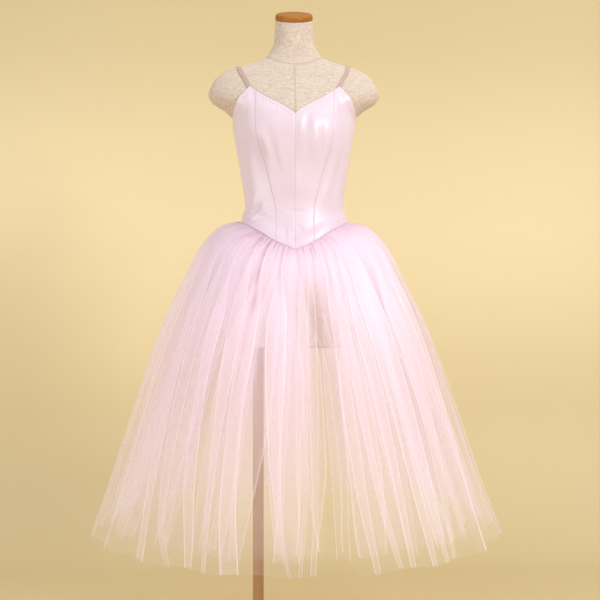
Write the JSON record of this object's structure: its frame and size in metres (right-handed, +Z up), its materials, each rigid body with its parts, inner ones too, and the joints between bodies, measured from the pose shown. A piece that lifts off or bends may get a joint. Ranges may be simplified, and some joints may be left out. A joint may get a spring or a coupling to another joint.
{
  "type": "ballet tutu on a dress form with a stand",
  "caption": "Romantic ballet tutu with a pointed pink satin bodice, thin straps and a long layered tulle skirt, on a linen dress form with a stand.",
  "frame": {"origin": "on the floor, at the middle of the base plate's underside, under the middle of the form", "axes": "+Z up, -Y the way the front of the bodice faces, +X towards the wearer's left"},
  "size_m": [0.929, 0.9249, 1.5041],
  "materials": {
    "satin": "pale pink bridal satin with a soft sheen and fine drape creases",
    "tulle": "pale pink soft net, see-through, gathered in several layers",
    "strap": "flat dusty pink elastic, fine ribbed weave",
    "linen": "natural slubby linen cover, matt",
    "cap_wood": "orange-brown varnished wood",
    "stand_metal": "brown satin paint"
  },
  "bodies": {
    "root": {"bodice_front_left": "satin", "bodice_front_right": "satin", "bodice_side_front_left": "satin", "bodice_side_front_right": "satin", "bodice_side_back_left": "satin", "bodice_side_back_right": "satin", "bodice_back_left": "satin", "bodice_back_right": "satin", "strap_left": "strap", "strap_right": "strap", "tulle_outer": "tulle", "tulle_second": "tulle", "tulle_third": "tulle", "tulle_inner": "tulle", "form_body": "linen", "form_neck_cap": "cap_wood", "stand_pole": "stand_metal", "stand_base": "stand_metal"}
  },
  "joints": []
}
